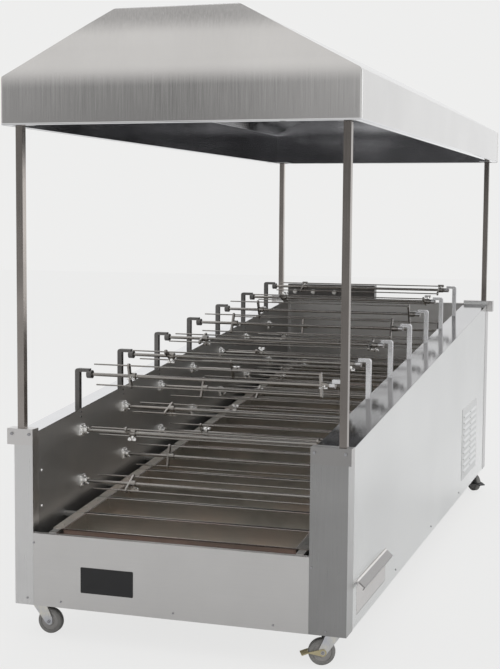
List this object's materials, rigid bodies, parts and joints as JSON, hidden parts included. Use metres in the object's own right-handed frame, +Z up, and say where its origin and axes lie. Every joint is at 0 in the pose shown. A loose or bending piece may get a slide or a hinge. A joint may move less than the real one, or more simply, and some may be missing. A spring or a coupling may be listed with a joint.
{
  "type": "lamb spit roaster",
  "caption": "Long charcoal roaster on casters with a sloping bed, three rows of turning spits, a hood on posts and an ash drawer.",
  "frame": {"origin": "on the floor, in the middle of the part's outline, under the hood's centre", "axes": "+Y along the bed towards its high end, +X towards the drive housing and the drawer, +Z up"},
  "size_m": [1.392, 3.6, 2.4362],
  "materials": {
    "brushed_steel": "brushed, vertical grain, slightly uneven",
    "side_steel": "bright satin sheet",
    "hood_steel": "satin sheet, light above the bend",
    "post_steel": "satin tube",
    "polished_steel": "mirror polished sheet",
    "inner_steel": "dull dark sheet, heat stained",
    "heat_steel": "heat tinted, brown and red at the rims",
    "frame_steel": "mill finish tube",
    "dark_bracket": "dark, semi-matt",
    "bright_bracket": "bright satin bar",
    "bearing_steel": "bright flange",
    "spit_steel": "ground bright bar",
    "chain_steel": "oiled steel",
    "motor_paint": "grey enamel",
    "plate_dark": "dark satin plate",
    "box_dark": "dark enamel, pale round lamps",
    "bolt_steel": "zinc plated",
    "zinc": "zinc plated pressed steel",
    "wheel_rubber": "grey rubber tread",
    "pedal_dark": "dark moulded pedal"
  },
  "bodies": {
    "body": {"base_frame": "frame_steel", "corner_columns": "brushed_steel", "column_caps": "brushed_steel", "hood_posts": "post_steel", "left_outer_panel": "side_steel", "right_outer_panel": "side_steel", "left_inner_wall": "inner_steel", "right_inner_wall": "inner_steel", "left_top_rail": "polished_steel", "right_top_cover": "polished_steel", "end_panels": "brushed_steel", "hood_canopy": "hood_steel", "charcoal_trays": "heat_steel", "tray_rails": "inner_steel", "drip_floor": "inner_steel", "left_spit_brackets": "dark_bracket", "right_spit_brackets": "bright_bracket", "spit_bearings": "bearing_steel", "gear_motor": "motor_paint", "drive_chains": "chain_steel", "louvre_panel": "side_steel", "blank_plate": "plate_dark", "control_box": "box_dark", "drawer_runners": "frame_steel", "caster_plates": "zinc", "panel_fasteners": "bolt_steel"},
    "motor_output": {"motor_sprocket": "chain_steel"},
    "drawer": {"ash_drawer": "inner_steel", "drawer_front": "brushed_steel"},
    "top_spit_1": {"top_spit_1": "spit_steel"},
    "top_spit_2": {"top_spit_2": "spit_steel"},
    "top_spit_3": {"top_spit_3": "spit_steel"},
    "top_spit_4": {"top_spit_4": "spit_steel"},
    "top_spit_5": {"top_spit_5": "spit_steel"},
    "top_spit_6": {"top_spit_6": "spit_steel"},
    "top_spit_7": {"top_spit_7": "spit_steel"},
    "middle_spit_1": {"middle_spit_1": "spit_steel"},
    "middle_spit_2": {"middle_spit_2": "spit_steel"},
    "middle_spit_3": {"middle_spit_3": "spit_steel"},
    "middle_spit_4": {"middle_spit_4": "spit_steel"},
    "middle_spit_5": {"middle_spit_5": "spit_steel"},
    "middle_spit_6": {"middle_spit_6": "spit_steel"},
    "middle_spit_7": {"middle_spit_7": "spit_steel"},
    "low_spit_1": {"low_spit_1": "spit_steel"},
    "low_spit_2": {"low_spit_2": "spit_steel"},
    "low_spit_3": {"low_spit_3": "spit_steel"},
    "low_spit_4": {"low_spit_4": "spit_steel"},
    "low_spit_5": {"low_spit_5": "spit_steel"},
    "low_spit_6": {"low_spit_6": "spit_steel"},
    "low_spit_7": {"low_spit_7": "spit_steel"},
    "yoke_front_left": {"caster_yoke_front_left": "zinc"},
    "wheel_front_left": {"caster_wheel_front_left": "wheel_rubber"},
    "yoke_front_right": {"caster_yoke_front_right": "zinc"},
    "wheel_front_right": {"caster_wheel_front_right": "wheel_rubber"},
    "pedal_front_right": {"brake_pedal_front_right": "pedal_dark"},
    "yoke_rear_left": {"caster_yoke_rear_left": "zinc"},
    "wheel_rear_left": {"caster_wheel_rear_left": "wheel_rubber"},
    "yoke_rear_right": {"caster_yoke_rear_right": "zinc"},
    "wheel_rear_right": {"caster_wheel_rear_right": "wheel_rubber"},
    "pedal_rear_right": {"brake_pedal_rear_right": "pedal_dark"}
  },
  "joints": [
    {"name": "motor_spin", "type": "hinge", "parent": "body", "child": "motor_output", "pos_m": [0.602, 1.12, 0.29], "axis": [1, 0, 0], "continuous": true},
    {"name": "top_spit_1_turn", "type": "hinge", "parent": "body", "child": "top_spit_1", "pos_m": [0.482, -1.337, 0.9884], "axis": [1, 0, 0], "continuous": true},
    {"name": "top_spit_2_turn", "type": "hinge", "parent": "body", "child": "top_spit_2", "pos_m": [0.482, -0.8995, 1.02884], "axis": [1, 0, 0], "continuous": true},
    {"name": "top_spit_3_turn", "type": "hinge", "parent": "body", "child": "top_spit_3", "pos_m": [0.482, -0.462, 1.06929], "axis": [1, 0, 0], "continuous": true},
    {"name": "top_spit_4_turn", "type": "hinge", "parent": "body", "child": "top_spit_4", "pos_m": [0.482, -0.0245, 1.10974], "axis": [1, 0, 0], "continuous": true},
    {"name": "top_spit_5_turn", "type": "hinge", "parent": "body", "child": "top_spit_5", "pos_m": [0.482, 0.413, 1.15018], "axis": [1, 0, 0], "continuous": true},
    {"name": "top_spit_6_turn", "type": "hinge", "parent": "body", "child": "top_spit_6", "pos_m": [0.482, 0.8505, 1.19063], "axis": [1, 0, 0], "continuous": true},
    {"name": "top_spit_7_turn", "type": "hinge", "parent": "body", "child": "top_spit_7", "pos_m": [0.482, 1.288, 1.23107], "axis": [1, 0, 0], "continuous": true},
    {"name": "middle_spit_1_turn", "type": "hinge", "parent": "body", "child": "middle_spit_1", "pos_m": [0.482, -1.337, 0.7534], "axis": [1, 0, 0], "continuous": true},
    {"name": "middle_spit_2_turn", "type": "hinge", "parent": "body", "child": "middle_spit_2", "pos_m": [0.482, -0.8995, 0.79384], "axis": [1, 0, 0], "continuous": true},
    {"name": "middle_spit_3_turn", "type": "hinge", "parent": "body", "child": "middle_spit_3", "pos_m": [0.482, -0.462, 0.83429], "axis": [1, 0, 0], "continuous": true},
    {"name": "middle_spit_4_turn", "type": "hinge", "parent": "body", "child": "middle_spit_4", "pos_m": [0.482, -0.0245, 0.87474], "axis": [1, 0, 0], "continuous": true},
    {"name": "middle_spit_5_turn", "type": "hinge", "parent": "body", "child": "middle_spit_5", "pos_m": [0.482, 0.413, 0.91518], "axis": [1, 0, 0], "continuous": true},
    {"name": "middle_spit_6_turn", "type": "hinge", "parent": "body", "child": "middle_spit_6", "pos_m": [0.482, 0.8505, 0.95563], "axis": [1, 0, 0], "continuous": true},
    {"name": "middle_spit_7_turn", "type": "hinge", "parent": "body", "child": "middle_spit_7", "pos_m": [0.482, 1.288, 0.99607], "axis": [1, 0, 0], "continuous": true},
    {"name": "low_spit_1_turn", "type": "hinge", "parent": "body", "child": "low_spit_1", "pos_m": [0.482, -1.337, 0.5414], "axis": [1, 0, 0], "continuous": true},
    {"name": "low_spit_2_turn", "type": "hinge", "parent": "body", "child": "low_spit_2", "pos_m": [0.482, -0.8995, 0.58184], "axis": [1, 0, 0], "continuous": true},
    {"name": "low_spit_3_turn", "type": "hinge", "parent": "body", "child": "low_spit_3", "pos_m": [0.482, -0.462, 0.62229], "axis": [1, 0, 0], "continuous": true},
    {"name": "low_spit_4_turn", "type": "hinge", "parent": "body", "child": "low_spit_4", "pos_m": [0.482, -0.0245, 0.66274], "axis": [1, 0, 0], "continuous": true},
    {"name": "low_spit_5_turn", "type": "hinge", "parent": "body", "child": "low_spit_5", "pos_m": [0.482, 0.413, 0.70318], "axis": [1, 0, 0], "continuous": true},
    {"name": "low_spit_6_turn", "type": "hinge", "parent": "body", "child": "low_spit_6", "pos_m": [0.482, 0.8505, 0.74363], "axis": [1, 0, 0], "continuous": true},
    {"name": "low_spit_7_turn", "type": "hinge", "parent": "body", "child": "low_spit_7", "pos_m": [0.482, 1.288, 0.78407], "axis": [1, 0, 0], "continuous": true},
    {"name": "drawer_slide", "type": "slide", "parent": "body", "child": "drawer", "axis": [1, 0, 0], "range_m": [0, 0.42]},
    {"name": "swivel_front_left", "type": "hinge", "parent": "body", "child": "yoke_front_left", "pos_m": [-0.59, -1.69, 0.11], "axis": [0, 0, 1], "continuous": true},
    {"name": "roll_front_left", "type": "hinge", "parent": "yoke_front_left", "child": "wheel_front_left", "pos_m": [-0.552, -1.69, 0.05], "axis": [0, 1, 0], "continuous": true},
    {"name": "swivel_front_right", "type": "hinge", "parent": "body", "child": "yoke_front_right", "pos_m": [0.59, -1.69, 0.11], "axis": [0, 0, 1], "continuous": true},
    {"name": "roll_front_right", "type": "hinge", "parent": "yoke_front_right", "child": "wheel_front_right", "pos_m": [0.55556, -1.70606, 0.05], "axis": [0.4226, -0.9063, 0], "continuous": true},
    {"name": "pedal_front_right_press", "type": "hinge", "parent": "yoke_front_right", "child": "pedal_front_right", "pos_m": [0.55556, -1.70606, 0.05], "axis": [0.4226, -0.9063, 0], "range_deg": [0, 14]},
    {"name": "swivel_rear_left", "type": "hinge", "parent": "body", "child": "yoke_rear_left", "pos_m": [-0.59, 1.69, 0.11], "axis": [0, 0, 1], "continuous": true},
    {"name": "roll_rear_left", "type": "hinge", "parent": "yoke_rear_left", "child": "wheel_rear_left", "pos_m": [-0.62571, 1.703, 0.05], "axis": [-0.342, -0.9397, 0], "continuous": true},
    {"name": "swivel_rear_right", "type": "hinge", "parent": "body", "child": "yoke_rear_right", "pos_m": [0.59, 1.69, 0.11], "axis": [0, 0, 1], "continuous": true},
    {"name": "roll_rear_right", "type": "hinge", "parent": "yoke_rear_right", "child": "wheel_rear_right", "pos_m": [0.61687, 1.66313, 0.05], "axis": [0.7071, 0.7071, 0], "continuous": true},
    {"name": "pedal_rear_right_press", "type": "hinge", "parent": "yoke_rear_right", "child": "pedal_rear_right", "pos_m": [0.61687, 1.66313, 0.05], "axis": [0.7071, 0.7071, 0], "range_deg": [0, 14]}
  ],
  "couplings": [
    {"joint": "middle_spit_1_turn", "follows": "motor_spin", "ratio": 1},
    {"joint": "middle_spit_2_turn", "follows": "motor_spin", "ratio": 1},
    {"joint": "middle_spit_3_turn", "follows": "motor_spin", "ratio": 1},
    {"joint": "middle_spit_4_turn", "follows": "motor_spin", "ratio": 1},
    {"joint": "middle_spit_5_turn", "follows": "motor_spin", "ratio": 1},
    {"joint": "middle_spit_6_turn", "follows": "motor_spin", "ratio": 1},
    {"joint": "middle_spit_7_turn", "follows": "motor_spin", "ratio": 1},
    {"joint": "low_spit_1_turn", "follows": "motor_spin", "ratio": 1},
    {"joint": "low_spit_2_turn", "follows": "motor_spin", "ratio": 1},
    {"joint": "low_spit_3_turn", "follows": "motor_spin", "ratio": 1},
    {"joint": "low_spit_4_turn", "follows": "motor_spin", "ratio": 1},
    {"joint": "low_spit_5_turn", "follows": "motor_spin", "ratio": 1},
    {"joint": "low_spit_6_turn", "follows": "motor_spin", "ratio": 1},
    {"joint": "low_spit_7_turn", "follows": "motor_spin", "ratio": 1}
  ]
}
